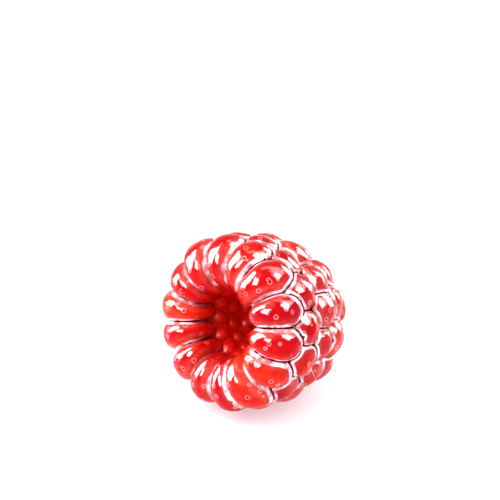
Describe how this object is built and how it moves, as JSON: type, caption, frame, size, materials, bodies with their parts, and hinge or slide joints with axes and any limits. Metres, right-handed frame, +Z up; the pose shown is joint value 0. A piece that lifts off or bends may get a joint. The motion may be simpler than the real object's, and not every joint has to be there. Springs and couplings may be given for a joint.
{
  "type": "raspberry",
  "caption": "Picked raspberry lying on its side: a thick cup of plump drupelets grown together round an open hollow.",
  "frame": {"origin": "on the table, under the middle of the fruit's bounding box", "axes": "+Z up; the hollow's mouth faces -Y and tilts up a little, and the tip points to +Y"},
  "size_m": [0.0212, 0.021, 0.0217],
  "materials": {
    "raspberry_skin": "glossy, juicy red skin with a faint pale bloom"
  },
  "bodies": {
    "root": {"raspberry": "raspberry_skin"}
  },
  "joints": []
}
